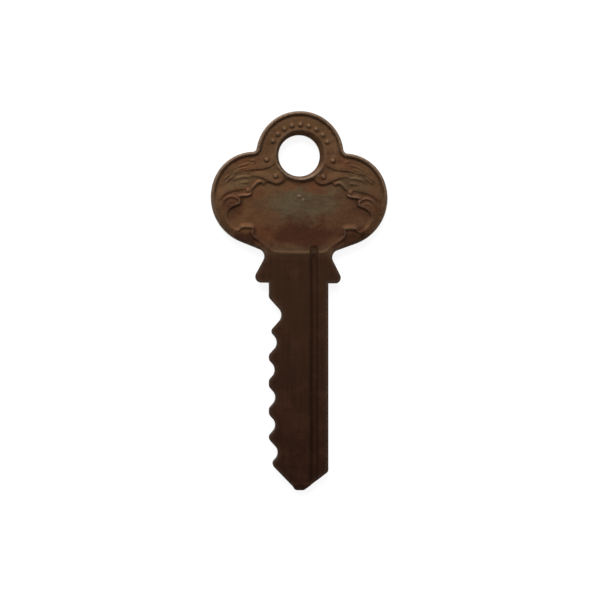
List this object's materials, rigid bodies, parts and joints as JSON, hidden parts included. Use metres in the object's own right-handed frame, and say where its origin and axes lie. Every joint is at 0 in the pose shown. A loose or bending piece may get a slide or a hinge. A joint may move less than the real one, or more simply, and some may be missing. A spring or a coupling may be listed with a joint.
{
  "type": "key",
  "caption": "Flat brass pin-tumbler key with a coined trefoil bow, a ring hole, a grooved blade and V cuts along one edge.",
  "frame": {"origin": "centre of the ring hole, half way through the strip's thickness", "axes": "+Y from the blade's tip up to the bow, +X towards the blade's uncut spine, +Z out of the front face"},
  "size_m": [0.0254, 0.0546, 0.0022],
  "materials": {
    "patinated_brass": "dark brown patina, worn to a dull gloss"
  },
  "bodies": {
    "root": {"key": "patinated_brass"}
  },
  "joints": []
}
